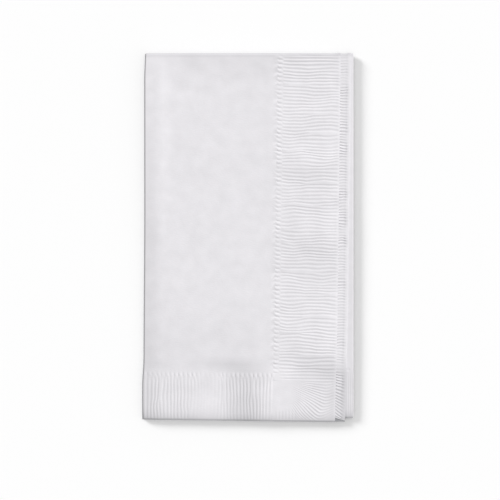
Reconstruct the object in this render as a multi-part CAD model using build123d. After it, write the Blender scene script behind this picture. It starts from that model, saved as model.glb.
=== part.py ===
"""Paper napkin, folded in eight and lying flat.

One sheet of soft paper is folded in half, in half again the same way, and once across.
The first two folds leave four layers, with two folds on the left, one on the right and the
sheet's two free side edges on the right. The cross fold at the top turns those four layers
over, so eight lie on each other and every cut edge is at the bottom. The sheet's rim carries
a coined border: fine pressed lines square to the edge, a row of short teeth along its inner
side, and lines that fan round the corner.

Frame, in millimetres: +Z up, +Y towards the cross fold, +X towards the free side edges. The
origin is under the middle of the folded outline, on the face that the napkin lies on. The
stack is built on its middle plane, upper half first, and the lower half mirrors it.
"""

from build123d import *
import math
import os

# Folded outline: a 17 x 15 in sheet folded in eight.
folded_width = 108.0
folded_length = 190.5

# The sheet and how tightly it is folded.
sheet_thickness = 0.25
layer_gap = 0.12
core_gap = 0.20
# A pressed side fold is creased, not round: flat facets in the full turn that it is half of.
crease_facets = 12

# The sheet lies a little askew to its folds, so its cut edges aren't square to them.
skew = 0.72
# How far the two free side edges stop short of the right fold, at the lower end.
first_step = 9.8
second_step = 4.7
# How far above the lowest corner the cut edge meets the second corner and the right fold.
cut_at_second_corner = 0.1
cut_at_right_fold = 1.96

# The coined border.
side_border = 32.0
end_border = 25.9
rim = 0.8
line_pitch = 1.65
line_width = 0.85
line_depth = 0.15
line_wander = 0.8
tooth_pitch = 2.28
tooth_length = 2.6
tooth_width = 1.1
tooth_gap = 0.5

# The free corner: a few straight lines below the teeth, then lines that dip and fan out.
straight_lines = 3
fan_lines = 11
fine_line_width = 0.6
fan_pitch = 1.55
fan_trough = 2.6
fan_trough_middle = 4.6
fan_reach = 13.0
fan_slope = 0.6
fan_slope_step = 0.06
fan_hook = 0.36

# Lines on the strips of the second and third layers that show past the layer above.
strip_pitch = 1.47
strip_clearance = 0.4
strip_turn = 48.0
inner_strip_lines = 2

pitch = sheet_thickness + layer_gap
stack_half = core_gap / 2 + 3 * pitch + sheet_thickness
left_fold_x = -folded_width / 2 + (3 * pitch + sheet_thickness) / 2
right_fold_x = folded_width / 2 - (pitch + sheet_thickness) / 2
cross_fold_y = folded_length / 2 - stack_half
low_y = -folded_length / 2
lean = math.tan(math.radians(skew))
side_run = cross_fold_y - low_y
first_corner_x = folded_width / 2 - first_step
second_corner_x = folded_width / 2 - second_step
cut_at_outer_fold = (first_corner_x - left_fold_x) * lean
cut_at_inner_fold = cut_at_second_corner + (second_corner_x - left_fold_x) * lean


def layer_floor(layer):
    """Height of a layer's inner face above the middle plane, the innermost layer being 0."""
    return core_gap / 2 + layer * pitch


def panel(layer, right_low_x, right_high_x, cut_left, cut_right):
    """One flat layer of the upper half, from its left fold line to its right edge or fold line."""
    outline = Polygon(
        (left_fold_x, cross_fold_y),
        (left_fold_x, low_y + cut_left),
        (right_low_x, low_y + cut_right),
        (right_high_x, cross_fold_y),
        align=None,
    )
    return Pos(0, 0, layer_floor(layer)) * extrude(outline, sheet_thickness)


def half_ring(inner_layer, outer_layer, centre_x, side):
    """Section of the fold that joins two layers, open towards the panels; side is -1 left, 1 right."""
    height = (layer_floor(inner_layer) + layer_floor(outer_layer) + sheet_thickness) / 2
    outer_radius = height - layer_floor(inner_layer)
    turn = 180 / crease_facets
    outer = RegularPolygon(outer_radius, crease_facets, major_radius=False, rotation=turn)
    inner_radius = outer_radius - sheet_thickness
    inner = RegularPolygon(inner_radius, crease_facets, major_radius=False, rotation=turn)
    open_side = Pos(side * outer_radius, 0) * Rectangle(2 * outer_radius, 2 * outer_radius)
    return Pos(centre_x, height) * ((outer - inner) & open_side)


def side_fold(inner_layer, outer_layer, centre_x, side, cut):
    """A fold that runs down one side of the upper half, from the cross fold to the cut edge."""
    section = Plane.XZ.offset(-cross_fold_y) * half_ring(inner_layer, outer_layer, centre_x, side)
    return extrude(section, side_run - cut)


def cross_fold():
    """The four layers and their side folds, turned through half a circle at the top."""
    section = half_ring(0, 3, left_fold_x, -1) + half_ring(1, 2, left_fold_x, -1)
    section += half_ring(0, 1, right_fold_x, 1)
    right_ends = (
        right_fold_x,
        right_fold_x,
        second_corner_x + side_run * lean,
        first_corner_x + side_run * lean,
    )
    for layer, right_x in enumerate(right_ends):
        strip = Rectangle(right_x - left_fold_x, sheet_thickness, align=(Align.MIN, Align.MIN))
        section += Pos(left_fold_x, layer_floor(layer)) * strip
    axis = Axis((0, cross_fold_y, 0), (-1, 0, 0))
    return revolve(Plane.XZ.offset(-cross_fold_y) * section, axis, 180)


def vee(width):
    """Section of a pressed line: a V that reaches line_depth below the paper's face."""
    clear = line_depth
    half = width / 2 * (line_depth + clear) / line_depth
    return Polygon((half, clear), (-half, clear), (0, -line_depth), align=None)


def pressed_line(x, y, length, angle, width=line_width):
    """Cutter for a straight line that runs from x, y at an angle from +X."""
    return Pos(x, y) * Rot(0, 0, angle) * extrude(Plane.YZ * vee(width), length)


def fan_line(number):
    """Cutter for one line of the corner fan: down to a trough, then up to the free edge."""
    low = end_border - straight_lines * line_pitch - (number + 1.5) * fan_pitch
    slope = min(fan_slope, (number + 1) * fan_slope_step)
    left = -fan_trough_middle - fan_trough / 2
    right = left + fan_trough
    path = Polyline(
        (left - fan_reach, low + fan_reach * slope),
        (left, low),
        (right, low),
        (-rim, low - (right + rim) * fan_hook),
    )
    start = Plane(path @ 0, x_dir=(0, 0, -1), z_dir=path % 0) * Rot(0, 0, 90)
    return sweep(start * vee(fine_line_width), path, transition=Transition.RIGHT)


def side_border_lines():
    """Cutters for the border along the free side edge, measured from the free corner."""
    line_x = -side_border + tooth_length + tooth_gap
    for i in range(-straight_lines, int((side_run - end_border) / line_pitch)):
        tilt = line_wander * math.sin(0.9 * i) * math.cos(0.23 * i)
        y = end_border + i * line_pitch
        yield pressed_line(line_x, y, -rim - line_x, tilt)
    for i in range(int((side_run - end_border) / tooth_pitch)):
        y = end_border + i * tooth_pitch
        yield pressed_line(-side_border, y, tooth_length, 0, tooth_width)


def end_border_lines():
    """Cutters for the border along the lower edge, measured from the free corner."""
    line_top = end_border - tooth_length - tooth_gap
    span = first_corner_x - left_fold_x - side_border
    for i in range(int(span / line_pitch)):
        tilt = line_wander * math.sin(1.1 * i) * math.cos(0.31 * i)
        yield pressed_line(-side_border - i * line_pitch, line_top, line_top - rim, -90 + tilt)
    for i in range(int(span / tooth_pitch)):
        x = -side_border - (i + 0.5) * tooth_pitch
        yield pressed_line(x, end_border, tooth_length, -90, tooth_width)


def second_strip_lines():
    """Cutters for the strip of the second layer that shows, measured from its own corner."""
    strip = first_step - second_step
    for i in range(int((side_run - rim) / strip_pitch)):
        y = rim + i * strip_pitch
        turn = strip_turn * max(0, 1 - y / end_border)
        reach = (strip - strip_clearance - rim) / math.cos(math.radians(turn))
        rise = reach * math.sin(math.radians(turn))
        yield pressed_line(strip_clearance - strip, y + rise, reach, -turn, fine_line_width)


def third_strip_lines():
    """Cutters for the strip of the third layer that shows at the lower right, run lengthwise."""
    length = end_border - tooth_length - cut_at_right_fold
    for i in range(inner_strip_lines):
        x = right_fold_x - (i + 1) * line_pitch
        yield pressed_line(x, low_y + cut_at_right_fold + rim, length, 90)


def press(layer_panel, layer, corner_x, cut, lines):
    """Presses lines, given from a layer's free corner, into that layer's outer face."""
    face = Pos(corner_x, low_y + cut, layer_floor(layer) + sheet_thickness) * Rot(0, 0, -skew)
    return layer_panel - [face * line for line in lines]


def upper_half():
    """The four layers above the middle plane, with their side folds and pressed borders."""
    first = panel(3, first_corner_x, first_corner_x + side_run * lean, cut_at_outer_fold, 0)
    first_lines = [*side_border_lines(), *end_border_lines()]
    first_lines += [fan_line(i) for i in range(fan_lines)]
    first = press(first, 3, first_corner_x, 0, first_lines)

    second_high_x = second_corner_x + side_run * lean
    second = panel(2, second_corner_x, second_high_x, cut_at_inner_fold, cut_at_second_corner)
    second = press(second, 2, second_corner_x, cut_at_second_corner, second_strip_lines())

    third = panel(1, right_fold_x, right_fold_x, cut_at_inner_fold, cut_at_right_fold)
    third_face = Pos(0, 0, layer_floor(1) + sheet_thickness)
    third -= [third_face * line for line in third_strip_lines()]

    fourth = panel(0, right_fold_x, right_fold_x, cut_at_outer_fold, cut_at_right_fold)
    folds = [
        side_fold(0, 3, left_fold_x, -1, cut_at_outer_fold),
        side_fold(1, 2, left_fold_x, -1, cut_at_inner_fold),
        side_fold(0, 1, right_fold_x, 1, cut_at_right_fold),
    ]
    return first + [second, third, fourth, *folds]


def napkin():
    """The whole folded sheet, as one solid that lies on z = 0."""
    half = upper_half()
    stack = half + [mirror(half, Plane.XY), cross_fold()]
    return Pos(0, 0, stack_half) * stack


os.makedirs("parts", exist_ok=True)
export_step(napkin(), "parts/napkin.step")
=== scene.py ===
"""A white paper napkin, folded in eight and lying flat on a pale floor.

The napkin is one closed mesh. It starts as a flat slab in the sheet's own coordinates: s runs
across the sheet from the top leaf's free edge, t runs from the front cut edge over the cross
fold to the back cut edge, and w is the height within the paper. The slab is refined where the
border is coined, and the lines are pressed. Then the sheet is bent round its side folds and
its cross fold, and loosened, as soft paper is. Lengths in the classes are in millimetres, and
the mesh is brought to metres at the end.
"""

import logging
import math
import random
from dataclasses import dataclass, field
from enum import Enum
from typing import ClassVar

import bmesh
import bpy
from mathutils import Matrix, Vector, noise


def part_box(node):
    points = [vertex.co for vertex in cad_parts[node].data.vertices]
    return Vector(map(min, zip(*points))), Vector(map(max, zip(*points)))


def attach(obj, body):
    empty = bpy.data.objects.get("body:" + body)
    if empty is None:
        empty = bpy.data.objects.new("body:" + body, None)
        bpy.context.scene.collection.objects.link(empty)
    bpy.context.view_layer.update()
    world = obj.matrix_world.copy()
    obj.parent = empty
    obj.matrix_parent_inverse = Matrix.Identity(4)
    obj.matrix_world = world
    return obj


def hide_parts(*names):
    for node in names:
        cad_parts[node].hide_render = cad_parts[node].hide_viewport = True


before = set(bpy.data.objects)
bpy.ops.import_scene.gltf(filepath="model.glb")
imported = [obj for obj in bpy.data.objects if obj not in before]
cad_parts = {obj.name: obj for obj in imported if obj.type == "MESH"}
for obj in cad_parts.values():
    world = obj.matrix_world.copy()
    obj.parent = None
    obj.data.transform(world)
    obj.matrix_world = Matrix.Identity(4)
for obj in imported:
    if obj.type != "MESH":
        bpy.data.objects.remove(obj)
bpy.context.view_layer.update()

METRE = 1000.0  # millimetres
NOISE_GAIN = 1.7
log = logging.getLogger("napkin")


def clamp(value: float) -> float:
    """Keeps a share between 0 and 1."""
    return min(1.0, max(0.0, value))


def ease(low: float, high: float, value: float) -> float:
    """Rises smoothly from 0 to 1 between two values.

    Args:
        low: where the rise starts.
        high: where it ends; below low for a fall.
        value: the place asked for.

    Returns:
        The share of the rise, from 0 to 1.
    """
    share = clamp((value - low) / (high - low))
    return share * share * (3.0 - 2.0 * share)


def blend(low: float, high: float, share: float) -> float:
    """The value that lies a share of the way from low to high."""
    return low + (high - low) * share


def hump(centre: float, reach: float, value: float) -> float:
    """A bell of height 1 at centre that has faded at about twice its reach."""
    return math.exp(-(((value - centre) / reach) ** 2))


def drift(x: float, y: float, size: float, seed: float) -> float:
    """Smooth noise of about -1 to 1 whose features are about one size across.

    Args:
        x: first coordinate.
        y: second coordinate.
        size: width of a feature.
        seed: picks one field of many.

    Returns:
        The noise at that place.
    """
    return NOISE_GAIN * noise.noise(Vector((x / size, y / size, seed)))


def set_inputs(node: bpy.types.Node, values: dict[str, object]) -> None:
    """Sets inputs of a node by their names."""
    for name, value in values.items():
        node.inputs[name].default_value = value


def placed(name: str, data: bpy.types.ID) -> bpy.types.Object:
    """Puts a new object with the given data in the scene."""
    thing = bpy.data.objects.new(name, data)
    bpy.context.scene.collection.objects.link(thing)
    return thing


def finished(name: str, bm: bmesh.types.BMesh, material: bpy.types.Material) -> bpy.types.Object:
    """Turns a bmesh into an object of the scene.

    Args:
        name: name of the object and of its mesh.
        bm: the form, which is freed.
        material: its one material.

    Returns:
        The object.
    """
    mesh = bpy.data.meshes.new(name)
    bm.to_mesh(mesh)
    bm.free()
    mesh.materials.append(material)
    return placed(name, mesh)


@dataclass(frozen=True)
class Ramp:
    """A smooth change from one value to another between two places."""

    start: float
    end: float
    before: float = 0.0
    after: float = 1.0

    def at(self, place: float) -> float:
        """The value at a place."""
        return blend(self.before, self.after, ease(self.start, self.end, place))


@dataclass(frozen=True)
class Mottle:
    """Smooth unevenness of a given strength and size of feature, with its own seed."""

    share: float
    size: float
    seed: float
    stretch: tuple[float, float] = (1.0, 1.0)

    def at(self, x: float, y: float) -> float:
        """The unevenness at a place, from about -share to share."""
        return self.share * drift(self.stretch[0] * x, self.stretch[1] * y, self.size, self.seed)


class Skin(Enum):
    """The two faces of the sheet."""

    OUTER = 1
    INNER = -1


class Along(Enum):
    """The two directions in the flat sheet, as the index of a coordinate."""

    S = 0
    T = 1


@dataclass(frozen=True)
class StackSizes:
    """Sizes of the folded stack; width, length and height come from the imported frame."""

    width: float
    length: float
    height: float
    paper: float = 0.25
    layer_gap: float = 0.12
    core_gap: float = 0.20
    skew: float = 0.72
    first_step: float = 9.8
    second_step: float = 4.7
    second_corner_cut: float = 0.1
    right_fold_cut: float = 1.96
    cross_fold_run: float = 2.4

    @property
    def pitch(self) -> float:
        """Distance from one layer to the next."""
        return self.paper + self.layer_gap

    @property
    def lean(self) -> float:
        """How far the cut edges run aside for each unit along them."""
        return math.tan(math.radians(self.skew))

    @property
    def middle(self) -> float:
        """Height of the stack's middle plane."""
        return self.height / 2

    @property
    def left_fold_x(self) -> float:
        """Where the flat leaves end and the left folds begin."""
        return -self.width / 2 + (3 * self.pitch + self.paper) / 2

    @property
    def right_fold_x(self) -> float:
        """Where the flat leaves end and the right fold begins."""
        return self.width / 2 - (self.pitch + self.paper) / 2

    @property
    def low_y(self) -> float:
        """The lowest corner."""
        return -self.length / 2

    @property
    def cross_fold_y(self) -> float:
        """Where the flat leaves end and the cross fold begins."""
        return self.length / 2 - self.height / 2

    @property
    def side_run(self) -> float:
        """Length of the front half, from the lowest corner to the cross fold."""
        return self.cross_fold_y - self.low_y

    @property
    def first_corner_x(self) -> float:
        """The top leaf's free corner."""
        return self.width / 2 - self.first_step

    @property
    def second_corner_x(self) -> float:
        """The second leaf's free corner."""
        return self.width / 2 - self.second_step

    def level(self, layer: int) -> float:
        """Height of a layer's middle above the middle plane, the innermost layer being 0."""
        return self.core_gap / 2 + layer * self.pitch + self.paper / 2


@dataclass(frozen=True)
class Leaf:
    """A flat stretch of the sheet between two folds, or between a fold and a free edge.

    At a free edge it lies aside by its lean and its slack. The pressed border there moves as
    one, and the plain paper past it takes up the shift.
    """

    slack_growth: ClassVar[Ramp] = Ramp(0.0, 60.0, before=0.3)

    start: float
    end: float
    layer: int
    start_x: float
    heading: int
    start_cut: float
    end_cut: float
    free_at: float | None = None
    slack: float = 0.0

    def place(self, sizes: StackSizes, s: float, t: float, w: float) -> tuple[float, float, float]:
        """Lays a point of the sheet on this leaf.

        Args:
            sizes: the stack.
            s: place across the sheet.
            t: distance from the cut edge, at most the front half's length.
            w: height within the paper.

        Returns:
            x, the height above the middle plane, and how far the cut edge lies above the lowest.
        """
        cut = blend(self.start_cut, self.end_cut, (s - self.start) / (self.end - self.start))
        x = self.start_x + self.heading * (s - self.start)
        if self.free_at is not None:
            give = sizes.lean * t + self.slack * self.slack_growth.at(t)
            beyond = abs(s - self.free_at) - PressedBorder.side_width
            x += give * clamp(1.0 - beyond / PressedBorder.give_width)
        return x, sizes.level(self.layer) - self.heading * w, cut


@dataclass(frozen=True)
class Fold:
    """A bend that joins two leaves."""

    start: float
    end: float
    low_layer: int
    high_layer: int
    centre_x: float
    start_turn: float
    end_turn: float
    cut: float

    def place(self, sizes: StackSizes, s: float, t: float, w: float) -> tuple[float, float, float]:
        """Lays a point of the sheet on this bend.

        Args:
            sizes: the stack.
            s: place across the sheet.
            t: distance from the cut edge; a bend is the same all along it.
            w: height within the paper.

        Returns:
            What a leaf's place returns.
        """
        low, high = sizes.level(self.low_layer), sizes.level(self.high_layer)
        share = (s - self.start) / (self.end - self.start)
        turn = math.radians(blend(self.start_turn, self.end_turn, share))
        clockwise = self.end_turn < self.start_turn
        radius = (high - low) / 2 + (-w if clockwise else w)
        x = self.centre_x + radius * math.cos(turn)
        return x, (low + high) / 2 + radius * math.sin(turn), self.cut


@dataclass(frozen=True)
class Fork:
    """A place where one pressed line ends and its two neighbours close up beyond it."""

    run: ClassVar[float] = 4.0

    line: int
    along: float
    heading: int

    def gone(self, along: float) -> float:
        """Share of the line that has gone at a place along it."""
        return ease(self.along, self.along - self.run * self.heading, along)


@dataclass(frozen=True)
class LineField:
    """A run of parallel pressed lines that wander, and here and there merge into one."""

    sharpness: ClassVar[float] = 1.25
    fork_reach: ClassVar[float] = 5.0

    pitch: float
    wander: Mottle
    tremble: Mottle
    forks: tuple[Fork, ...]
    squeeze: float

    @staticmethod
    def groove(phase: float) -> float:
        """Depth of a line's section, from 0 to 1, at a place counted in lines."""
        return (0.5 + 0.5 * math.cos(2 * math.pi * phase)) ** LineField.sharpness

    def near(self, place: float) -> list[tuple[Fork, float]]:
        """The forks close to a place, each with its distance from it in lines."""
        found = ((fork, place / self.pitch - fork.line) for fork in self.forks)
        return [(fork, off) for fork, off in found if abs(off) < self.fork_reach]

    def shift(self, place: float, along: float) -> float:
        """How far the lines are moved aside at a place.

        Args:
            place: distance across the lines, from the first.
            along: distance along the line.

        Returns:
            The shift across the lines.
        """
        moved = self.wander.at(along, place) + self.tremble.at(along, place)
        for fork, off in self.near(place):
            moved -= self.squeeze * self.pitch * off * math.exp(1 - abs(off)) * fork.gone(along)
        return moved

    def depth(self, place: float, along: float) -> float:
        """How deep the lines are at a place.

        Args:
            place: distance across the lines, from the first.
            along: distance along the line.

        Returns:
            The depth, from 0 to 1.
        """
        depth = self.groove(place / self.pitch)
        for fork, off in self.near(place):
            if abs(off) < 0.5:
                depth *= 1.0 - fork.gone(along)
        return depth


@dataclass(frozen=True)
class Spot:
    """A soft patch, placed by its distances from the free side edge and the cut end."""

    d: float
    t: float
    reach_d: float
    reach_t: float
    share: float

    def at(self, d: float, t: float) -> float:
        """The patch's share at a place."""
        return self.share * hump(self.d, self.reach_d, d) * hump(self.t, self.reach_t, t)


@dataclass(frozen=True)
class CornerFan:
    """The lines that swing round the free corner, from square to the side edge to steep.

    Line n dips to its trough near the free edge and rises from there on both sides: steeply to
    the edge, and in a long slope inward. Places are as in the border.
    """

    top: float
    pitch: float = 1.6
    trough: Ramp = Ramp(11.0, 2.0, 5.2, 8.4)
    reach: float = 16.5
    reach_fade: float = 3.0
    first_slope: float = 0.04
    slope_step: float = 0.072
    turning_line: float = 5.0
    late_slope_step: float = 0.042
    hook: Ramp = Ramp(22.5, 17.0, after=0.075)
    wear: Ramp = Ramp(5.0, 12.0, 1.0, 0.75)
    cut_start: Ramp = Ramp(0.4, 1.4)

    def number(self, d: float, t: float) -> float:
        """Which line passes through a place.

        Args:
            d: distance from the free side edge.
            t: distance from the cut end.

        Returns:
            The line's number, as a fraction; below 0 above the first line.
        """
        run = min(self.inward(d, t), self.reach)
        lift = max(0.0, self.trough.at(t) - d) ** 2 * self.hook.at(t)
        drop = self.top + self.first_slope * run + lift - t
        early = drop / (self.pitch - self.slope_step * run)
        if early <= self.turning_line:
            return early
        extra = self.turning_line * (self.slope_step - self.late_slope_step) * run
        return (drop + extra) / (self.pitch - self.late_slope_step * run)

    def inward(self, d: float, t: float) -> float:
        """Distance inward from the troughs, with a soft start."""
        return math.hypot(max(0.0, d - self.trough.at(t)), 1.0) - 1.0

    def mask(self, d: float, t: float) -> float:
        """Share of the full depth that the fan's lines have at a place."""
        run = self.inward(d, t)
        fade = ease(self.reach, self.reach - self.reach_fade, run)
        return self.wear.at(run) * fade * self.cut_start.at(t)


@dataclass(frozen=True)
class ToothRow:
    """The row of short teeth on the inner side of the border.

    The ramps run across the row: the teeth's outer end, a step in their middle, and their
    inner end.
    """

    outer: Ramp
    middle: Ramp
    inner: Ramp
    uneven: Mottle
    phase: float
    sharpness: float
    least: float = 0.4

    def mask(self, across: float, d: float, t: float) -> float:
        """Share of the full depth at a place that lies so far across the row."""
        mask = self.outer.at(across) * self.inner.at(across) * self.middle.at(across)
        return mask * max(self.least, 1.0 + self.uneven.at(d, t))

    def groove(self, count: float) -> float:
        """Depth of the row's section, from 0 to 1, at a place counted in teeth."""
        return LineField.groove(count + self.phase) ** self.sharpness


@dataclass(frozen=True)
class PressedBorder:
    """The coined border round the sheet's rim: lines, teeth and the fan at the free corner.

    Places are distances from the free side edge (d) and from the cut end (t). Grid rows and
    columns follow the straight lines, so a place is pressed by its own row or column and then
    shifted within the sheet. Bands are pressed deeper and carry painted shade. Patches are
    painted shade only, or painted light where their share is below 0.
    """

    side_width: ClassVar[float] = 32.5
    give_width: ClassVar[float] = 24.0

    side_lines: LineField
    end_lines: LineField
    fan: CornerFan
    side_tooth: float
    end_tooth: float

    rim: float = 0.9
    rim_start: Ramp = Ramp(0.2, 1.4)
    rim_cover: Ramp = Ramp(1.3, 0.5)
    rim_keep: Ramp = Ramp(120.0, 165.0, 0.35, 0.70)
    rim_uneven: Mottle = Mottle(0.45, 5.0, 17.0)
    side_roll: Ramp = Ramp(1.1, 0.0, after=0.10)
    end_roll: Ramp = Ramp(1.0, 0.0, after=0.10)

    line_start: float = 29.6
    line_fade: Ramp = Ramp(27.9, 22.9, 0.5, 5.5)
    side_level: Ramp = Ramp(side_width, side_width - 6.0)
    side_teeth: ToothRow = ToothRow(
        outer=Ramp(29.7, 30.0),
        middle=Ramp(30.6, 31.4, 0.65, 1.20),
        inner=Ramp(side_width, side_width - 0.6),
        uneven=Mottle(0.5, 3.5, 14.0),
        phase=0.0,
        sharpness=1.5,
    )
    side_hold: Ramp = Ramp(side_width, line_start - 3.0)
    side_corner_hold: Ramp = Ramp(21.5, 30.0)
    cross_fold_hold: float = 7.0

    end_height: float = 25.9
    end_line_top: float = 22.4
    end_line_start: Ramp = Ramp(0.3, 0.9)
    end_line_stop: Ramp = Ramp(end_line_top, end_line_top - 0.5)
    end_line_growth: Ramp = Ramp(13.0, 21.0, 1.0, 1.6)
    end_level: Ramp = Ramp(end_height, end_height - 6.0)
    end_teeth: ToothRow = ToothRow(
        outer=Ramp(22.5, 22.9),
        middle=Ramp(24.5, 23.7, 0.35, 0.85),
        inner=Ramp(end_height - 0.8, end_height - 1.5),
        uneven=Mottle(0.5, 3.5, 15.0),
        phase=0.5,
        sharpness=1.6,
    )
    end_hold: Ramp = Ramp(end_height, end_line_top - 2.0)
    end_corner_hold: Ramp = Ramp(side_width, side_width + 4.0)
    side_fold_hold: float = 5.0

    dash_inner: Ramp = Ramp(19.0, 21.0)
    dash_low: Ramp = Ramp(0.5, 1.2)
    dash_high: Ramp = Ramp(7.0, 4.0)

    mean: float = 0.45
    depth: float = 0.145
    end_line_depth: float = 0.092
    fan_depth: float = 0.13
    tooth_depth: float = 0.20
    tooth_level: float = 0.6
    dash_depth: float = 0.06
    deepest: float = 0.22

    usual_strength: float = 0.95
    least_strength: float = 0.1
    band_strength: float = 1.3
    broad: Mottle = Mottle(0.20, 23.0, 3.1)
    fine: Mottle = Mottle(0.34, 8.0, 8.4, (1.0, 2.6))

    # Painted shade that grows towards the cut end, and a painted shadow line along its edge.
    end_painted_shade: Ramp = Ramp(6.5, 0.0, after=0.34)
    cut_edge_painted_shadow: Ramp = Ramp(0.9, 0.15, after=1.4)
    worn: tuple[Spot, ...] = (
        Spot(64.5, 12.0, 7.5, 60.0, 0.85),
        Spot(71.5, 8.0, 5.5, 14.0, 0.45),
        Spot(33.5, 10.0, 4.5, 30.0, 0.40),
    )
    # Bands are pressed deeper and carry painted shade.
    deep_shaded_bands: tuple[Spot, ...] = (
        Spot(12.0, 187.0, 22.0, 4.5, 0.10),
        Spot(12.0, 129.0, 20.0, 6.5, 0.15),
        Spot(10.0, 111.5, 18.0, 4.0, 0.15),
        Spot(10.0, 88.5, 22.0, 5.5, 0.22),
        Spot(10.0, 78.0, 20.0, 5.0, 0.17),
        Spot(12.0, 29.5, 13.0, 5.5, 0.38),
    )
    # Painted shade patches; those below 0 are painted light.
    painted_shade_patches: tuple[Spot, ...] = (
        Spot(13.0, 10.0, 10.0, 9.0, 0.10),
        Spot(47.3, 9.0, 9.0, 18.0, 0.55),
        Spot(97.0, 8.0, 8.0, 22.0, 0.30),
        Spot(83.0, 6.0, 12.0, 25.0, 0.16),
        Spot(48.0, 31.0, 13.0, 3.5, 0.14),
        Spot(90.0, 31.0, 14.0, 3.5, 0.12),
        Spot(56.0, 28.6, 14.0, 3.0, 0.36),
        Spot(47.1, 25.9, 10.0, 0.9, 0.20),
        Spot(47.1, 21.5, 10.0, 3.5, 0.18),
        Spot(27.0, 26.0, 11.0, 3.5, -0.22),
        Spot(68.0, 42.0, 32.0, 11.0, 0.15),
        Spot(17.0, 137.0, 12.0, 5.0, -0.12),
        Spot(18.0, 162.0, 12.0, 4.0, -0.12),
        Spot(64.5, 6.0, 6.5, 11.0, -0.15),
        Spot(1.0, 14.0, 4.0, 15.0, 0.42),
        Spot(4.0, 25.5, 8.0, 4.5, 0.32),
        Spot(9.5, 19.0, 4.0, 5.0, 0.20),
    )

    def strength(self, d: float, t: float) -> float:
        """How deep the press went at a place.

        Args:
            d: distance from the free side edge.
            t: distance from the cut end.

        Returns:
            The factor on the usual depth, about 1.
        """
        strength = self.usual_strength + self.broad.at(d, t) + self.fine.at(d, t)
        if d < self.side_width:
            strength += self.band_strength * sum(spot.at(d, t) for spot in self.deep_shaded_bands)
        else:
            strength *= 1.0 - sum(spot.at(d, t) for spot in self.worn)
        return max(self.least_strength, strength)

    def wave(self, mask: float, groove: float, level: float = 1.0) -> float:
        """A line's depth where its mask is 1, and a share of the mean depth where it is 0."""
        return self.mean * level + mask * (groove - self.mean)

    def side_depth(self, d: float, t: float) -> float:
        """How deep the border along the free side edge is pressed.

        Args:
            d: distance from the free side edge.
            t: distance from the cut end.

        Returns:
            The depth, before the press's strength.
        """
        kept = clamp(self.rim_keep.at(t) + self.rim_uneven.at(0.0, t)) * self.rim_cover.at(d)
        level, rim = self.side_level.at(d), self.rim_start.at(d)
        number = self.fan.number(d, t)
        if number > -0.5:
            mask = rim * self.fan.mask(d, t)
            depth = self.fan_depth * self.wave(mask, LineField.groove(number))
        elif d < self.line_start:
            mask = rim * ease(self.line_start, self.line_start - self.line_fade.at(t), d)
            depth = self.depth * self.wave(mask, self.side_lines.depth(t, d), level)
        elif t > self.end_height - self.side_tooth / 2:
            groove = self.side_teeth.groove(t / self.side_tooth)
            mask = self.side_teeth.mask(d, d, t)
            depth = self.tooth_depth * self.wave(mask, groove, self.tooth_level * level)
        else:
            depth = self.depth * self.mean * level
        dash = self.dash_inner.at(d) * self.dash_low.at(t) * self.dash_high.at(t)
        dash *= LineField.groove((d - self.side_width) / self.end_lines.pitch)
        return (1.0 - kept) * depth + self.dash_depth * dash

    def end_depth(self, d: float, t: float) -> float:
        """How deep the border along the cut end is pressed.

        Args:
            d: distance from the free side edge.
            t: distance from the cut end.

        Returns:
            The depth, before the press's strength.
        """
        along, level = d - self.side_width, self.end_level.at(t)
        if t < self.end_line_top:
            mask = self.end_line_start.at(t) * self.end_line_stop.at(t)
            mask *= self.end_line_growth.at(t)
            return self.end_line_depth * self.wave(mask, self.end_lines.depth(along, t), level)
        groove = self.end_teeth.groove(along / self.end_tooth)
        mask = self.end_teeth.mask(t, d, t)
        return self.tooth_depth * self.wave(mask, groove, self.tooth_level * level)

    def pressed(self, d: float, t: float) -> float:
        """How deep the top leaf is pressed at a place, softly limited to the deepest."""
        depth = self.side_depth(d, t) if d < self.side_width else self.end_depth(d, t)
        depth *= self.strength(d, t)
        return depth / (1.0 + (depth / self.deepest) ** 4) ** 0.25

    def painted_shade(self, d: float, t: float) -> float:
        """How much painted shade a place has apart from its lines, with painted light below 0."""
        painted_shade = sum(spot.at(d, t) for spot in self.deep_shaded_bands + self.painted_shade_patches)
        return painted_shade + self.end_painted_shade.at(t) + self.cut_edge_painted_shadow.at(t)

    def side_shift(self, d: float, t: float, run: float) -> float:
        """How far a row wanders lengthwise at a place along the free side edge.

        Args:
            d: distance from the free side edge.
            t: distance from the cut end.
            run: length of the front half.

        Returns:
            The shift along t.
        """
        held = self.side_hold.at(d) * self.side_corner_hold.at(t)
        return held * ease(run, run - self.cross_fold_hold, t) * self.side_lines.shift(t, d)

    def end_shift(self, d: float, t: float, end: float) -> float:
        """How far a column wanders crosswise along the cut end, which reaches to end."""
        held = self.end_hold.at(t) * self.end_corner_hold.at(d)
        held *= ease(end, end - self.side_fold_hold, d)
        return held * self.end_lines.shift(d - self.side_width, t)


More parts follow.
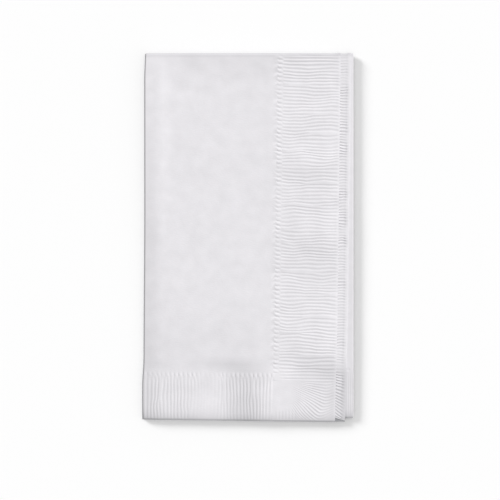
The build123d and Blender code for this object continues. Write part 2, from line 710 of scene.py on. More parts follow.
@dataclass(frozen=True)
class SecondStrip:
    """The lines on the strip of the second leaf that shows past the top leaf's free edge."""

    width: float = 5.1
    under: float = 0.9
    rim: float = 1.3
    rim_soft: float = 0.5
    side_roll: Ramp = Ramp(1.0, 0.0, after=0.08)
    depth: float = 0.20
    cut_start: Ramp = Ramp(0.5, 1.2)
    usual_strength: float = 0.85
    least_strength: float = 0.25
    uneven: Mottle = Mottle(0.85, 6.0, 21.0, (0.4, 1.0))
    corner_strength: Ramp = Ramp(29.9, 21.9, after=0.4)
    calm_top: Ramp = Ramp(188.0, 182.0, before=0.35)
    turn: float = 48.0
    turn_height: float = 25.9
    steepest: float = 0.85
    wander: Mottle = Mottle(0.45, 9.0, 31.0, (2.0, 1.6))
    cut_hold: Ramp = Ramp(0.0, 4.0)
    cross_fold_hold: float = 5.0
    # Painted shade: an even share past the rim, shadow at the free corner, a darker band and shadow
    # at the cut end.
    painted_shade: float = 0.13
    corner: Ramp = Ramp(34.9, 23.9)
    corner_painted_shade: Ramp = Ramp(1.9, 1.0, 0.46, 0.81)
    dark_band_at: float = 102.0
    dark_band_reach: float = 4.0
    dark_band_tone: float = 0.15
    cut_painted_shadow: Ramp = Ramp(3.2, 1.6, after=1.7)

    def past_rim(self, d: float) -> float:
        """0 on the plain rim and 1 past it."""
        return ease(self.rim, self.rim + self.rim_soft, d)

    def pressed(self, d: float, t: float, pitch: float) -> float:
        """How deep the strip is pressed.

        Args:
            d: distance from the second leaf's free edge.
            t: distance from the cut end.
            pitch: spacing of the lines.

        Returns:
            The depth.
        """
        strength = max(self.least_strength, self.usual_strength + self.uneven.at(d, t))
        strength = (strength + self.corner_strength.at(t)) * self.calm_top.at(t)
        mask = self.past_rim(d) * self.cut_start.at(t)
        return self.depth * mask * strength * LineField.groove(t / pitch)

    def shade(self, d: float, t: float) -> float:
        """How much painted shade the strip has at a place, with painted shadow at its corner and
        cut end.
        """
        shade = self.painted_shade * self.past_rim(d) + self.corner_painted_shade.at(d) * self.corner.at(t)
        dark_band = self.dark_band_tone * hump(self.dark_band_at, self.dark_band_reach, t)
        return shade + dark_band + self.cut_painted_shadow.at(t)

    def shift(self, d: float, t: float, run: float) -> float:
        """How far a row sinks towards the free edge, and wanders, at a place on the strip.

        Args:
            d: distance from the second leaf's free edge.
            t: distance from the cut end.
            run: length of the front half.

        Returns:
            The shift along t.
        """
        across = max(0.0, self.width - d) / self.width
        turn = math.radians(self.turn * max(0.0, 1.0 - t / self.turn_height))
        sink = min(self.width * math.tan(turn), self.steepest * t) * across
        held = ease(run, run - self.cross_fold_hold, t) * self.cut_hold.at(t)
        return held * self.wander.at(d, t) - sink


@dataclass(frozen=True)
class FoldStrip:
    """The lengthwise lines on the third leaf where it shows at the lower right."""

    width: float = 5.0
    first: float = 0.55
    pitch: float = 1.03
    lines: int = 3
    depth: float = 0.07
    low: Ramp = Ramp(0.8, 1.8)
    high: Ramp = Ramp(23.4, 21.9)
    nick_height: float = 25.0
    nick_reach: float = 0.6
    nick: Ramp = Ramp(1.2, 2.0, after=0.10)
    below_nick: Ramp = Ramp(27.0, 23.0)
    # Painted shade: the second leaf's edge's shadow, a faint darkening that grows lower down, and
    # shade at the cut end.
    leaf_edge_painted_shadow: Ramp = Ramp(2.7, 3.3, 0.36, 0.76)
    high_tint: Ramp = Ramp(150.0, 80.0, 0.07, 0.19)
    end_painted_shade: Ramp = Ramp(5.0, 0.0, after=0.6)
    cut_painted_shadow: Ramp = Ramp(0.9, 0.1, after=1.2)

    def pressed(self, d: float, t: float) -> float:
        """How deep the paper is pressed.

        Args:
            d: distance from the right fold.
            t: distance from the cut end.

        Returns:
            The depth.
        """
        phase = (d - self.first) / self.pitch
        depth = hump(self.nick_height, self.nick_reach, t) * self.nick.at(d)
        if -0.5 < phase < self.lines - 0.5:
            depth += self.depth * self.low.at(t) * self.high.at(t) * LineField.groove(phase)
        return depth

    def shade(self, d: float, t: float) -> float:
        """How much painted shade the strip has, with the second leaf's edge's shadow low down."""
        shade = blend(self.high_tint.at(t), self.leaf_edge_painted_shadow.at(d), self.below_nick.at(t))
        return shade + self.end_painted_shade.at(t) + self.cut_painted_shadow.at(t)


@dataclass(frozen=True)
class Rows:
    """How finely the sheet's grid is divided, and the line spacings that follow from it."""

    sizes: StackSizes
    end_span: float
    coarse: int = 42
    side_parts: int = 16
    strip_parts: int = 15
    end_columns: int = 29
    end_parts: int = 8
    line_rows: int = 6
    tooth_rows: int = 8
    strip_rows: int = 5
    cross_parts: int = 10
    side_columns: int = 9
    leaf_columns: int = 12
    fold_columns: int = 6
    wide_fold_columns: int = 8
    fan_line: int = 12
    border_rows: int = 6

    @property
    def step(self) -> float:
        """Height of a coarse row."""
        return self.sizes.side_run / self.coarse

    @property
    def side_line(self) -> float:
        """Spacing of the lines along the free side edge."""
        return self.line_rows * self.step / self.side_parts

    @property
    def fan_top(self) -> float:
        """Height of the straight line that the fan starts from."""
        return self.fan_line * self.side_line

    @property
    def side_tooth(self) -> float:
        """Spacing of the teeth along the free side edge."""
        return self.tooth_rows * self.step / self.side_parts

    @property
    def strip_line(self) -> float:
        """Spacing of the lines on the second leaf's strip."""
        return self.strip_rows * self.step / self.strip_parts

    @property
    def end_line(self) -> float:
        """Spacing of the lines along the cut end."""
        return self.line_rows * self.end_span / self.end_columns / self.end_parts

    @property
    def end_tooth(self) -> float:
        """Spacing of the teeth along the cut end."""
        return self.tooth_rows * self.end_span / self.end_columns / self.end_parts


@dataclass(frozen=True)
class SoftRidge:
    """A faint swelling or crease in the loose stack, highest at its middle."""

    x: float
    y: float
    length: float
    width: float
    rise: float
    angle: float = 0.0

    def lift(self, x: float, y: float) -> float:
        """Height that the ridge adds at a place.

        Args:
            x: place across the folded stack.
            y: place along it.

        Returns:
            The height, below 0 for a crease.
        """
        turn = math.radians(self.angle)
        off_x, off_y = x - self.x, y - self.y
        along = off_x * math.cos(turn) + off_y * math.sin(turn)
        across = off_y * math.cos(turn) - off_x * math.sin(turn)
        return self.rise * hump(0.0, self.length, along) * hump(0.0, self.width, across)


@dataclass(frozen=True)
class Loft:
    """The soft, uneven height of the folded stack, and how its outline gives a little.

    Bows move the left outline, by the height as a share of the length. Flushes draw the top
    outline up where the steps at the right leave fewer layers.
    """

    sizes: StackSizes
    plateau: Ramp = Ramp(78.0, 24.0, 1.5, 1.2)
    fold_fall: Ramp = Ramp(172.0, 75.0, 0.25, 1.35)
    fold_fall_low: Ramp = Ramp(20.0, 34.0, before=0.6)
    fold_fall_high: Ramp = Ramp(194.0, 176.0, before=0.35)
    fold_rise: Ramp = Ramp(-3.5, 8.5, -1.0, 0.0)
    crest: Ramp = Ramp(70.0, 145.0, after=0.56)
    crest_high: Ramp = Ramp(192.0, 180.0)
    crest_side: Ramp = Ramp(13.8, 7.0)
    cross_ridge: Ramp = Ramp(20.0, 46.0, 1.25, 0.25)
    cross_ridge_side: Ramp = Ramp(14.0, 32.0)
    cross_ridge_fall: Ramp = Ramp(15.0, -5.0)
    end_roll: float = 0.9
    end_roll_reach: float = 2.2
    broad: Mottle = Mottle(0.10, 26.0, 41.0)
    fine: Mottle = Mottle(0.025, 6.0, 47.0)
    corner_draw: Ramp = Ramp(0.93, 1.0, after=0.42)
    mid_bow: Ramp = Ramp(0.62, 0.12, after=0.5)
    border_flare: Ramp = Ramp(0.17, 0.10, after=0.65)
    bow_reach: float = 9.0
    flushes: tuple[Ramp, ...] = (Ramp(45.5, 46.5, after=0.36), Ramp(50.5, 51.5, after=0.36))
    flush_start: float = -3.0
    flush_end: float = 0.8
    ridges: tuple[SoftRidge, ...] = (
        SoftRidge(-34.5, 76.6, 8.0, 2.6, -0.24, -14.0),
        SoftRidge(-22.0, 76.0, 9.0, 3.0, -0.26, 8.0),
        SoftRidge(-2.0, 80.5, 10.0, 4.0, -0.30, 6.0),
        SoftRidge(-5.0, -63.4, 12.0, 2.4, 0.36),
        SoftRidge(-46.0, -64.0, 7.0, 2.2, 0.24),
        SoftRidge(33.0, 38.5, 17.0, 9.0, 0.45),
        SoftRidge(33.0, 3.0, 17.0, 11.0, 0.50),
        SoftRidge(33.0, -54.0, 17.0, 11.0, 0.55),
        SoftRidge(36.0, -66.5, 12.0, 1.5, 0.12, -4.0),
        SoftRidge(8.0, -84.0, 12.0, 9.0, 0.70, 90.0),
    )

    def above_cut(self, x: float, y: float) -> float:
        """How far a place lies above the slanting cut edge of the top leaf.

        Args:
            x: place across the folded stack.
            y: place along it.

        Returns:
            The distance along y.
        """
        z = self.sizes
        left = z.lean * max(0.0, z.first_corner_x - x)
        right = z.right_fold_cut * max(0.0, x - z.first_corner_x) / z.first_step
        return y - z.low_y - left - right

    def fold_side(self, u: float, above: float) -> float:
        """Height near the left folds: low at the edge, a soft crest, then level.

        Args:
            u: distance from the left outline.
            above: distance above the cut edge.

        Returns:
            The height, 0 well away from the folds.
        """
        fall = self.fold_fall.at(above)
        fall *= self.fold_fall_low.at(above) * self.fold_fall_high.at(above)
        crest = self.crest.at(above) * self.crest_high.at(above)
        return fall * self.fold_rise.at(u) + crest * self.crest_side.at(u)

    def height(self, x: float, y: float) -> float:
        """Height added to the top of the stack.

        Args:
            x: place across the folded stack.
            y: place along it.

        Returns:
            The height.
        """
        u = x + self.sizes.width / 2
        v = self.sizes.length / 2 - y
        above = self.above_cut(x, y)
        lift = self.plateau.at(above) + self.fold_side(u, above)
        lift += self.cross_ridge.at(x) * self.cross_ridge_fall.at(v) * self.cross_ridge_side.at(u)
        lift -= self.end_roll * math.exp(-max(0.0, above) / self.end_roll_reach)
        lift += sum(ridge.lift(x, y) for ridge in self.ridges)
        return lift + self.broad.at(x, y) + self.fine.at(x, y)

    def settle(self, point: Vector) -> Vector:
        """Moves a point of the tightly folded sheet to where the loose sheet has it.

        Args:
            point: the point in the folded frame.

        Returns:
            The settled point, never below the floor.
        """
        x, y, z = point
        rise = self.height(x, y) * z / self.sizes.height
        u = x + self.sizes.width / 2
        above = (y - self.sizes.low_y) / self.sizes.length
        bow = self.corner_draw.at(above) - self.mid_bow.at(above) - self.border_flare.at(above)
        past = y - self.sizes.cross_fold_y
        flush = sum(step.at(x) for step in self.flushes)
        flush *= ease(self.flush_start, self.flush_end, past)
        bow *= math.exp(-max(0.0, u) / self.bow_reach)
        return Vector((x + bow, y + flush, max(0.0, z + rise)))


@dataclass(frozen=True)
class Tissue:
    """Soft two-ply paper: matt, faintly lilac white, with a fine crepe.

    A grain is given by its scale on the flat sheet and its detail, a tone of the clouding by
    its place and its share of the colour.
    """

    slot: str = "tissue"
    colour: tuple[float, float, float] = (0.80, 0.785, 0.812)
    shaded_colour: tuple[float, float, float] = (0.60, 0.592, 0.614)
    roughness: float = 0.95
    specular: float = 0.15
    sheen: float = 0.12
    sheen_roughness: float = 0.6
    crepe: tuple[tuple[float, float, float], float] = ((260.0, 900.0, 1.0), 3.0)
    crepe_depth: float = 0.00009
    crepe_strength: float = 0.6
    cloud: tuple[tuple[float, float, float], float] = ((60.0, 55.0, 1.0), 4.0)
    cloud_tones: tuple[tuple[float, float], ...] = ((0.3, 0.965), (0.7, 1.03))

    @staticmethod
    def grain(
        tree: bpy.types.NodeTree, scale: tuple[float, float, float], detail: float
    ) -> bpy.types.NodeSocket:
        """Lays noise on the flat sheet.

        Args:
            tree: the material's nodes.
            scale: how many features the sheet has each way.
            detail: how many finer steps the noise has.

        Returns:
            The noise's output.
        """
        sheet = tree.nodes.new("ShaderNodeUVMap")
        sheet.uv_map = FoldedSheet.uv_name
        place = tree.nodes.new("ShaderNodeMapping")
        set_inputs(place, {"Scale": scale})
        tree.links.new(sheet.outputs["UV"], place.inputs["Vector"])
        grain = tree.nodes.new("ShaderNodeTexNoise")
        set_inputs(grain, {"Scale": 1.0, "Detail": detail})
        tree.links.new(place.outputs["Vector"], grain.inputs["Vector"])
        return grain.outputs["Fac"]

    def material(self) -> bpy.types.Material:
        """Builds the paper's material.

        Returns:
            Clouded white, mixed with painted shade where the sheet's attribute asks, and finely
            creped.
        """
        mat = bpy.data.materials.new("tissue_paper")
        mat.use_nodes = True
        nodes, links = mat.node_tree.nodes, mat.node_tree.links
        shader = nodes["Principled BSDF"]
        surface = {"Roughness": self.roughness, "Specular IOR Level": self.specular}
        sheen = {"Sheen Weight": self.sheen, "Sheen Roughness": self.sheen_roughness}
        set_inputs(shader, surface | sheen)

        clouded = nodes.new("ShaderNodeValToRGB")
        for stop, (place, tone) in zip(clouded.color_ramp.elements, self.cloud_tones):
            stop.position = place
            stop.color = (*[min(1.0, tone * c) for c in self.colour], 1.0)
        links.new(self.grain(mat.node_tree, *self.cloud), clouded.inputs["Fac"])

        # Painted shade: the sheet's attribute mixes the paper towards, and past, its shaded tone,
        # and below 0 lightens it as painted light.
        pressed = nodes.new("ShaderNodeAttribute")
        pressed.attribute_name = FoldedSheet.press_and_shade_name
        mix = nodes.new("ShaderNodeMix")
        mix.data_type = "RGBA"
        mix.clamp_factor = False
        links.new(pressed.outputs["Fac"], mix.inputs["Factor"])
        links.new(clouded.outputs["Color"], mix.inputs["A"])
        set_inputs(mix, {"B": (*self.shaded_colour, 1.0)})
        links.new(mix.outputs["Result"], shader.inputs["Base Color"])

        bump = nodes.new("ShaderNodeBump")
        set_inputs(bump, {"Strength": self.crepe_strength, "Distance": self.crepe_depth})
        links.new(self.grain(mat.node_tree, *self.crepe), bump.inputs["Height"])
        links.new(bump.outputs["Normal"], shader.inputs["Normal"])
        return mat


@dataclass
class FoldedSheet:
    """The napkin's one sheet, from the flat cut to the loose folded stack.

    The ramps of the cross fold run from where the flat leaves end, lengthwise, apart from
    its side ramp, which runs across the sheet.
    """

    uv_name: ClassVar[str] = "sheet"
    # The attribute named pressed holds the painted shade and the pressed lines' darkening.
    press_and_shade_name: ClassVar[str] = "pressed"
    fold_margin: ClassVar[float] = 0.25
    fold_edge: ClassVar[float] = 0.2
    rim_gap: ClassVar[float] = 0.6
    soft: ClassVar[float] = 0.5
    hair: ClassVar[float] = 0.01
    aligned: ClassVar[float] = 1e-4
    sharp_degrees: ClassVar[float] = 55.0
    fork_scatter: ClassVar[int] = 4
    fork_near: ClassVar[float] = 7.0

    sizes: StackSizes
    strip: SecondStrip = field(default_factory=SecondStrip)
    fold_strip: FoldStrip = field(default_factory=FoldStrip)
    paper: Tissue = field(default_factory=Tissue)
    first_slack: float = 0.75
    second_slack: float = 0.9
    # The pressed lines' darkening: partly the denser pressed paper, partly painted shade in the
    # grooves.
    first_line_tint: float = 0.08
    second_line_tint: float = 0.12
    sink: Ramp = Ramp(7.0, 0.5, after=0.9)
    # Painted shade on the cross fold, and a painted shadow line along the left folds' outline.
    cross_near: Ramp = Ramp(-9.0, -2.0, after=0.04)
    cross_start: Ramp = Ramp(-1.5, 0.7, after=0.6)
    cross_back: Ramp = Ramp(0.8, 1.4, after=0.6)
    cross_side: Ramp = Ramp(60.0, 85.0)
    side_fold_at: float = 0.55
    side_fold_reach: float = 0.4
    side_fold_tint: float = 1.8
    fork_seed: int = 11

    def __post_init__(self) -> None:
        """Works out the leaves and folds across the sheet and the grid's stations."""
        z = self.sizes
        first_cut = (z.first_corner_x - z.left_fold_x) * z.lean
        second_cut = z.second_corner_cut + (z.second_corner_x - z.left_fold_x) * z.lean
        wide = math.pi * (z.level(3) - z.level(0)) / 2
        tight = math.pi * z.pitch / 2
        first = z.first_corner_x - z.left_fold_x
        inner = z.right_fold_x - z.left_fold_x
        second = z.second_corner_x - z.left_fold_x
        ends = [0.0]
        for run in (first, wide, inner, tight, inner, tight, second):
            ends.append(ends[-1] + run)
        left, right = z.left_fold_x, z.right_fold_x
        right_cut, low_cut = z.right_fold_cut, z.second_corner_cut
        self.runs = [
            Leaf(*ends[0:2], 3, z.first_corner_x, -1, 0.0, first_cut, ends[0], self.first_slack),
            Fold(*ends[1:3], 0, 3, left, 90, 270, first_cut),
            Leaf(*ends[2:4], 0, left, 1, first_cut, right_cut),
            Fold(*ends[3:5], 0, 1, right, -90, 90, right_cut),
            Leaf(*ends[4:6], 1, right, -1, right_cut, second_cut),
            Fold(*ends[5:7], 1, 2, left, 270, 90, second_cut),
            Leaf(*ends[6:8], 2, left, 1, second_cut, low_cut, ends[7], self.second_slack),
        ]
        self.ends = ends
        self.rows = Rows(z, ends[1] - self.fold_margin - PressedBorder.side_width)
        self.border = self.coined_border()
        self.loft = Loft(z)
        self.flat_width = ends[-1]
        self.strip_low = ends[-1] - self.strip.width - self.strip.under
        self.flat_length = 2 * z.side_run + z.cross_fold_run

    @classmethod
    def forks(
        cls, draw: random.Random, count: int, first: int, step: int, far: float
    ) -> tuple[Fork, ...]:
        """Draws the places where pressed lines merge.

        Args:
            draw: the source of chance.
            count: how many there are.
            first: the lowest line that may merge.
            step: lines from one place to the next.
            far: how far along its line a place may lie.

        Returns:
            The forks, in the order of their lines.
        """
        return tuple(
            Fork(
                first + step * k + draw.randrange(cls.fork_scatter),
                draw.uniform(cls.fork_near, far),
                draw.choice((-1, 1)),
            )
            for k in range(count)
        )

    def coined_border(self) -> PressedBorder:
        """Sets up the border and draws its merging lines.

        Returns:
            The border, with its line spacings taken from the grid.
        """
        draw = random.Random(self.fork_seed)
        rows = self.rows
        side_lines = LineField(
            pitch=rows.side_line,
            wander=Mottle(0.72, 16.0, 1.7, (1.0, 1.9)),
            tremble=Mottle(0.324, 6.4, 6.7, (1.0, 1.5)),
            forks=self.forks(draw, 13, 17, 7, 24.0),
            squeeze=0.26,
        )
        end_lines = LineField(
            pitch=rows.end_line,
            wander=Mottle(0.38, 13.0, 12.6, (1.0, 1.9)),
            tremble=Mottle(0.171, 5.2, 17.6, (1.0, 1.5)),
            forks=self.forks(draw, 4, 4, 9, 17.0),
            squeeze=0.22,
        )
        fan = CornerFan(top=rows.fan_top)
        return PressedBorder(side_lines, end_lines, fan, rows.side_tooth, rows.end_tooth)

    @staticmethod
    def spaced(low: float, high: float, parts: int) -> list[float]:
        """Evenly spaced stations after low, up to and including high."""
        return [low + (high - low) * (i + 1) / parts for i in range(parts)]

    def columns(self) -> list[float]:
        """Divides the sheet across, closely where it is pressed or folded.

        Returns:
            Stations of the coarse grid across the sheet.
        """
        b, e, rows, teeth = self.border, self.ends, self.rows, self.border.side_teeth
        stops = (
            (b.rim, 1),
            (b.rim + self.rim_gap, 1),
            (b.line_start - self.soft, rows.side_columns),
            (b.line_start, 1),
            (teeth.outer.start, 1),
            (teeth.outer.start + self.soft, 1),
            (teeth.middle.start, 1),
            (teeth.middle.end, 1),
            (b.side_width - self.soft, 1),
            (b.side_width, 1),
            (e[1] - self.fold_margin, rows.end_columns),
            (e[1], 1),
            (e[2], rows.wide_fold_columns),
            (e[3], rows.leaf_columns),
            (e[4], rows.fold_columns),
            (e[4] + self.fold_edge, 1),
            (e[4] + self.fold_strip.width, 2),
            (e[5], rows.leaf_columns),
            (e[6], rows.fold_columns),
            (self.strip_low, rows.leaf_columns),
            (e[7] - self.strip.rim - self.strip.rim_soft, 4),
            (e[7] - self.strip.rim, 1),
            (e[7], 1),
        )
        stations = [0.0]
        for stop, parts in stops:
            stations += self.spaced(stations[-1], stop, parts)
        return stations

    def row_stations(self) -> list[float]:
        """Divides the sheet lengthwise.

        Returns:
            Stations of the coarse grid from the front cut edge to the back one.
        """
        run, fold = self.sizes.side_run, self.sizes.cross_fold_run
        stations = [0.0] + self.spaced(0.0, run, self.rows.coarse)
        stations += self.spaced(run, run + fold, self.rows.cross_parts)
        return stations + self.spaced(run + fold, 2 * run + fold, self.rows.coarse)

    def slab(self) -> bmesh.types.BMesh:
        """Makes the flat sheet.

        Returns:
            A closed slab on the coarse grid, in sheet coordinates.
        """
        across, along = self.columns(), self.row_stations()
        bm = bmesh.new()
        bmesh.ops.create_grid(
            bm, x_segments=len(across) - 1, y_segments=len(along) - 1, size=0.5
        )
        for v in bm.verts:
            column = round((v.co.x + 0.5) * (len(across) - 1))
            row = round((v.co.y + 0.5) * (len(along) - 1))
            v.co = Vector((across[column], along[row], 0.0))
        bmesh.ops.solidify(bm, geom=bm.faces[:], thickness=self.sizes.paper)
        low = min(v.co.z for v in bm.verts)
        bmesh.ops.translate(
            bm, verts=bm.verts[:], vec=Vector((0.0, 0.0, -low - self.sizes.paper / 2))
        )
        return bm

    def refine(
        self,
        bm: bmesh.types.BMesh,
        skin: Skin,
        along: Along,
        s_span: tuple[float, float],
        t_span: tuple[float, float],
        parts: int,
    ) -> None:
        """Divides the grid lines of one skin within a window, on the front and the back half.

        Args:
            bm: the slab.
            skin: which face of the sheet.
            along: direction of the edges that are divided.
            s_span: the window across the sheet.
            t_span: the window in distance from the cut edge.
            parts: how many parts each edge becomes.
        """
        chosen = []
        for edge in bm.edges:
            a, b = (v.co for v in edge.verts)
            if a.z * skin.value <= 0.0 or b.z * skin.value <= 0.0:
                continue
            if abs(a[1 - along.value] - b[1 - along.value]) > self.aligned:
                continue
            s, t = (a.x + b.x) / 2, (a.y + b.y) / 2
            t = min(t, self.flat_length - t)
            if s_span[0] < s < s_span[1] and t_span[0] < t < t_span[1]:
                chosen.append(edge)
        bmesh.ops.subdivide_edges(bm, edges=chosen, cuts=parts - 1, use_grid_fill=False)

    def refined(self) -> bmesh.types.BMesh:
        """Divides the slab finely where lines are pressed or the surface shows.

        Returns:
            The refined slab.
        """
        b, e, rows, hair = self.border, self.ends, self.rows, self.hair
        run, outer, inner = self.sizes.side_run, Skin.OUTER, Skin.INNER
        side, fold = b.side_width, e[1] - self.fold_margin
        tooth_rows = rows.border_rows * rows.step + hair
        low_rows = (rows.border_rows - 1) * rows.step + hair
        last_row = run - rows.step
        leaf, leaf_and_fold = (side + hair, e[1] + hair), (side + hair, e[2] + hair)
        second = (self.strip_low - hair, e[7] + hair)
        third = (e[4] + self.fold_edge, e[4] + self.fold_strip.width)
        third_rows = (e[4], third[1] + hair)
        windows = (
            (outer, Along.S, (side, fold), (-hair, tooth_rows), rows.end_parts),
            (outer, Along.T, leaf, (0.0, rows.step), 8),
            (outer, Along.T, leaf, (rows.step, low_rows), 2),
            (outer, Along.T, leaf, (low_rows, tooth_rows), 8),
            (outer, Along.T, leaf_and_fold, (tooth_rows, last_row), 2),
            (outer, Along.T, leaf_and_fold, (last_row, run), 10),
            (outer, Along.T, (-hair, side + hair), (0.0, run), rows.side_parts),
            (outer, Along.S, (b.rim + self.soft, b.line_start), (-hair, low_rows), 10),
            (inner, Along.T, second, (0.0, run), rows.strip_parts),
            (outer, Along.S, third, (-hair, tooth_rows), 10),
            (outer, Along.T, third_rows, (0.0, rows.step), 4),
            (outer, Along.T, third_rows, (low_rows, tooth_rows), 12),
            (outer, Along.T, third_rows, (last_row, run), 10),
        )
        bm = self.slab()
        for window in windows:
            self.refine(bm, *window)
        return bm

    def droop(self, d: float) -> float:
        """How far a leaf sinks onto the one below it at a distance from its free edge."""
        return self.sizes.layer_gap * self.sink.at(d)

    def press_first(self, s: float, end: float, w: float) -> tuple[float, float, float, float]:
        """Presses the top leaf at a place.

        Args:
            s: distance from the free side edge.
            end: distance from the cut end.
            w: height within the paper, above 0 on the face that is pressed.

        Returns:
            The shifts along s and t, the new height, and the place's share of painted shade, with
            its pressed lines' darkening.
        """
        b, shift_s, shift_t, dark = self.border, 0.0, 0.0, 0.0
        if w > 0.0:
            depth = b.pressed(s, end)
            # Painted shade: the darkening in the lines and the border's shade.
            dark = self.first_line_tint * depth / b.depth + b.painted_shade(s, end)
            w -= depth + max(b.side_roll.at(s), b.end_roll.at(end))
        if s < b.side_width:
            shift_t = b.side_shift(s, end, self.sizes.side_run)
        elif end < b.end_height:
            shift_s = b.end_shift(s, end, self.ends[1])
        return shift_s, shift_t, w - self.droop(s), dark

    def press_second(self, d: float, end: float, w: float) -> tuple[float, float, float, float]:
        """Presses the second leaf's strip at a place.

        Args:
            d: distance from the second leaf's free edge.
            end: distance from the cut end.
            w: height within the paper, below 0 on the face that is pressed.

        Returns:
            What press_first returns.
        """
        strip, dark = self.strip, 0.0
        if w < 0.0:
            depth = strip.pressed(d, end, self.rows.strip_line)
            # Painted shade: the darkening in the strip's lines and the strip's shade.
            dark = self.second_line_tint * depth / self.border.depth + strip.shade(d, end)
            w += depth + strip.side_roll.at(d)
        return 0.0, strip.shift(d, end, self.sizes.side_run), w + self.droop(d), dark

    def fold_shade(self, s: float, end: float) -> float:
        """How much painted shade the paper has on the cross fold and along the left folds' outline.

        Args:
            s: place across the sheet.
            end: distance from the cut end.

        Returns:
            The share of the shaded tone.
        """
        past, e = end - self.sizes.side_run, self.ends
        shade = self.cross_start.at(past) + self.cross_near.at(past)
        shade += self.cross_back.at(past) * self.cross_side.at(s) * ease(e[2], e[1], s)
        return shade + self.side_fold_tint * hump(self.side_fold_at, self.side_fold_reach, s - e[1])

    def press(self, bm: bmesh.types.BMesh) -> None:
        """Presses the border into the slab and lets its rows and columns wander.

        Args:
            bm: the slab.
        """
        shade_layer = bm.verts.layers.float.new(self.press_and_shade_name)
        for v in bm.verts:
            s, t, w = v.co
            back = t > self.flat_length / 2
            end = self.flat_length - t if back else t
            shift_s, shift_t, dark = 0.0, 0.0, 0.0
            if end > self.sizes.side_run:
                if s < self.ends[1]:
                    w -= self.droop(s)
                elif s > self.strip_low:
                    w += self.droop(self.flat_width - s)
            elif s < self.ends[1]:
                shift_s, shift_t, w, dark = self.press_first(s, end, w)
            elif s > self.strip_low:
                shift_s, shift_t, w, dark = self.press_second(self.flat_width - s, end, w)
            elif 0.0 < s - self.ends[4] < self.fold_strip.width and w > 0.0:
                w -= self.fold_strip.pressed(s - self.ends[4], end)
                dark = self.fold_strip.shade(s - self.ends[4], end)
            v.co = Vector((s + shift_s, t + (-shift_t if back else shift_t), w))
            # Painted shade for the paper's colour, from the lines, border, strips and folds.
            v[shade_layer] = dark + self.fold_shade(s, end)

    def folded(self, s: float, t: float, w: float) -> Vector:
        """Where a point of the flat sheet lies in the tightly folded stack.

        Args:
            s: place across the sheet.
            t: place along the sheet, from the front cut edge.
            w: height within the paper.

        Returns:
            The point in the folded frame.
        """
        z = self.sizes
        along = min(t, self.flat_length - t, z.side_run)
        run = next((r for r in self.runs if s <= r.end), self.runs[-1])
        x, height, cut = run.place(z, s, along, w)
        if t < z.side_run or t > self.flat_length - z.side_run:
            past = max(0.0, along - self.border.side_width)
            y = z.low_y + along + cut * (1.0 - past / (z.side_run - self.border.side_width))
            return Vector((x, y, z.middle + (height if t < z.side_run else -height)))
        turn = math.pi * (t - z.side_run) / z.cross_fold_run
        y = z.cross_fold_y + height * math.sin(turn)
        return Vector((x, y, z.middle + height * math.cos(turn)))

    def build(self) -> bpy.types.Object:
        """Builds the sheet.

        Returns:
            The finished napkin.
        """
        bm = self.refined()
        log.info("slab refined to %d faces", len(bm.faces))
        self.press(bm)
        uv = bm.loops.layers.uv.new(self.uv_name)
        for face in bm.faces:
            for loop in face.loops:
                co = loop.vert.co
                loop[uv].uv = (co.x / self.flat_width, co.y / self.flat_length)
        for v in bm.verts:
            v.co = self.loft.settle(self.folded(*v.co)) / METRE
        # The top leaf runs leftwards from the free edge, so folding turned the slab inside out.
        bmesh.ops.reverse_faces(bm, faces=bm.faces[:])
        for face in bm.faces:
            face.smooth = True
        for edge in bm.edges:
            edge.smooth = edge.calc_face_angle(0.0) < math.radians(self.sharp_degrees)
        return finished("napkin_sheet", bm, self.paper.material())


@dataclass(frozen=True)
class Lamp:
    """A broad, distant lamp that lights some of the pieces."""

    name: str
    share: float
    drop: float
    heading: float
    spread: float

    def build(self, lit: list[bpy.types.Object]) -> bpy.types.Object:
        """Hangs the lamp.

        Args:
            lit: the pieces that it lights.

        Returns:
            The lamp's object.
        """
        drop, heading = math.radians(self.drop), math.radians(self.heading)
        light = bpy.data.lights.new(self.name, "SUN")
        light.energy = self.share * math.pi / math.cos(drop)
        light.angle = math.radians(self.spread)
        away = Vector(
            (math.sin(drop) * math.cos(heading), math.sin(drop) * math.sin(heading), math.cos(drop))
        )
        lamp = placed(self.name, light)
        lamp.location = away
        lamp.rotation_mode = "QUATERNION"
        lamp.rotation_quaternion = away.to_track_quat("Z", "Y")
        group = bpy.data.collections.new(f"lit_by_{self.name}")
        for piece in lit:
            group.objects.link(piece)
        lamp.light_linking.receiver_collection = group
        return lamp


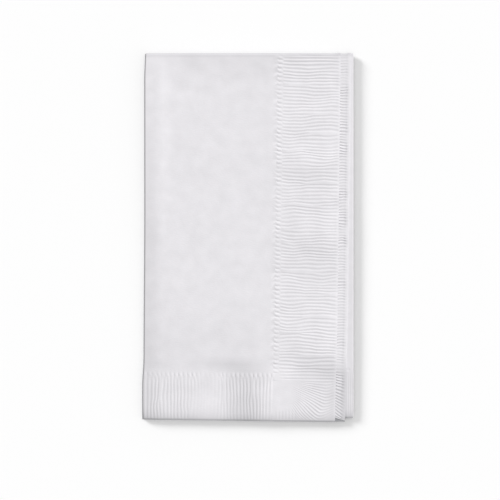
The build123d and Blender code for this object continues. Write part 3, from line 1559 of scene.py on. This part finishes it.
@dataclass(frozen=True)
class Studio:
    """The plain floor, the soft light and the camera over the napkin.

    In the photograph the napkin is modelled by light from the upper right, while its soft
    shadow falls to the lower right. So one lamp lights the paper, and a low one with a high
    one lights the floor.
    """

    floor_span: float = 6.0
    floor_seen: float = 0.99
    floor_bounce: float = 0.45
    ambient: float = 0.55
    paper_lamp: Lamp = Lamp("paper_lamp", share=0.45, drop=58.0, heading=36.0, spread=35.0)
    floor_lamp: Lamp = Lamp("floor_lamp", share=0.295, drop=67.2, heading=143.5, spread=20.0)
    floor_fill: Lamp = Lamp("floor_fill", share=0.155, drop=0.0, heading=0.0, spread=40.0)
    lens: float = 100.0
    sensor: float = 36.0
    frame_pixels: float = 500.0
    pixel: float = 0.5163
    look_x: float = 0.54
    look_y: float = -6.45
    look_z: float = 3.5
    clip: tuple[float, float] = (0.01, 20.0)

    def floor(self) -> bpy.types.Object:
        """Lays the floor.

        Returns:
            The floor, just below white to the camera and pale grey in the light it throws.
        """
        bm = bmesh.new()
        bmesh.ops.create_grid(bm, x_segments=1, y_segments=1, size=self.floor_span / 2)
        mat = bpy.data.materials.new("floor_paint")
        mat.use_nodes = True
        nodes, links = mat.node_tree.nodes, mat.node_tree.links
        shader = nodes["Principled BSDF"]
        set_inputs(shader, {"Roughness": 1.0, "Specular IOR Level": 0.0})
        path = nodes.new("ShaderNodeLightPath")
        mix = nodes.new("ShaderNodeMix")
        mix.data_type = "RGBA"
        links.new(path.outputs["Is Camera Ray"], mix.inputs["Factor"])
        thrown, seen = ((*[tone] * 3, 1.0) for tone in (self.floor_bounce, self.floor_seen))
        set_inputs(mix, {"A": thrown, "B": seen})
        links.new(mix.outputs["Result"], shader.inputs["Base Color"])
        return finished("floor", bm, mat)

    def world(self) -> None:
        """Sets the even light from all round, with a white backdrop for the camera."""
        world = bpy.data.worlds.new("studio")
        bpy.context.scene.world = world
        world.use_nodes = True
        nodes, links = world.node_tree.nodes, world.node_tree.links
        shader = nodes["Background"]
        set_inputs(shader, {"Color": (1.0, 1.0, 1.0, 1.0)})
        path = nodes.new("ShaderNodeLightPath")
        seen = nodes.new("ShaderNodeMath")
        seen.operation = "MAXIMUM"
        links.new(path.outputs["Is Camera Ray"], seen.inputs[0])
        links.new(path.outputs["Is Glossy Ray"], seen.inputs[1])
        strength = nodes.new("ShaderNodeMapRange")
        set_inputs(strength, {"To Min": self.ambient, "To Max": 1.0})
        links.new(seen.outputs["Value"], strength.inputs["Value"])
        links.new(strength.outputs["Result"], shader.inputs["Strength"])

    def camera(self) -> bpy.types.Object:
        """Sets up the camera.

        Returns:
            The camera, straight above, with the cross fold at the top of the picture.
        """
        data = bpy.data.cameras.new("camera")
        data.lens = self.lens
        data.sensor_width = self.sensor
        data.clip_start, data.clip_end = self.clip
        distance = self.frame_pixels * self.pixel * self.lens / self.sensor
        camera = placed("camera", data)
        camera.location = Vector((self.look_x, self.look_y, distance + self.look_z)) / METRE
        bpy.context.scene.camera = camera
        return camera

    def build(self, sheet: bpy.types.Object) -> None:
        """Builds the floor, the lamps and the camera.

        Args:
            sheet: the napkin, which the paper's lamp lights.
        """
        floor = self.floor()
        self.world()
        self.paper_lamp.build([sheet])
        self.floor_lamp.build([floor])
        self.floor_fill.build([floor])
        self.camera()
        bpy.context.scene.view_settings.view_transform = "Standard"


def main() -> None:
    logging.basicConfig(level=logging.INFO, format="%(name)s: %(message)s")
    low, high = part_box("napkin")
    size = (high - low) * METRE
    napkin = FoldedSheet(StackSizes(size.x, size.y, size.z))
    sheet = napkin.build()
    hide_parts("napkin")
    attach(sheet, "root")
    triangles = sum(len(p.vertices) - 2 for p in sheet.data.polygons)
    log.info("napkin sheet: %d triangles", triangles)
    Studio().build(sheet)


if __name__ == "__main__":
    main()
